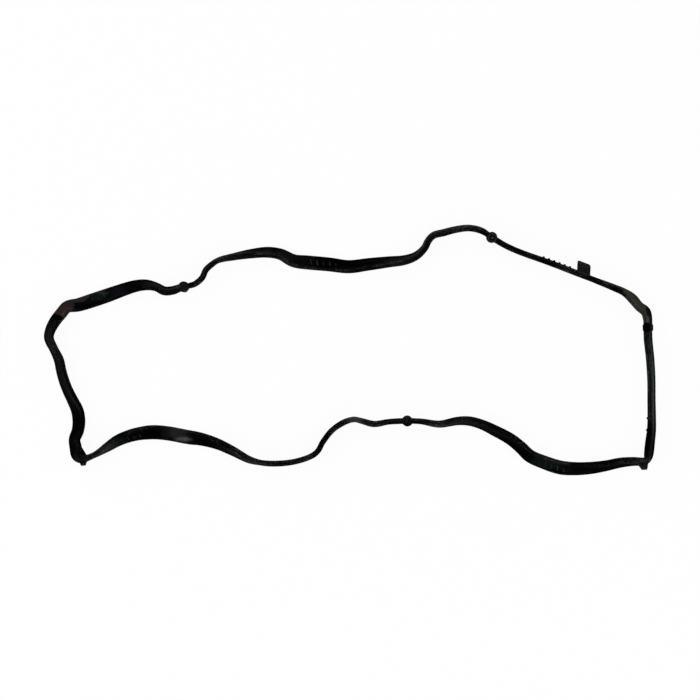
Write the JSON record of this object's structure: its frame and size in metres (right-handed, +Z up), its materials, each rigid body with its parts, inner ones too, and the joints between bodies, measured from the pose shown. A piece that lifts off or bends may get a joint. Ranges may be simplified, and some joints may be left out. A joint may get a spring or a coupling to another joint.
{
  "type": "valve cover gasket",
  "caption": "Closed loop of black moulded rubber strip, a rocker cover seal with round locating bosses, a flat side tab and small grip teeth.",
  "frame": {"origin": "under the middle of the loop, on the surface that it lies on", "axes": "+X along the length of the loop, +Y across it towards the side with the tab, +Z up"},
  "size_m": [0.45, 0.1843, 0.011],
  "materials": {
    "rubber": "semi-gloss black moulded rubber with a faint brown and grey bloom"
  },
  "bodies": {
    "root": {"gasket": "rubber"}
  },
  "joints": []
}
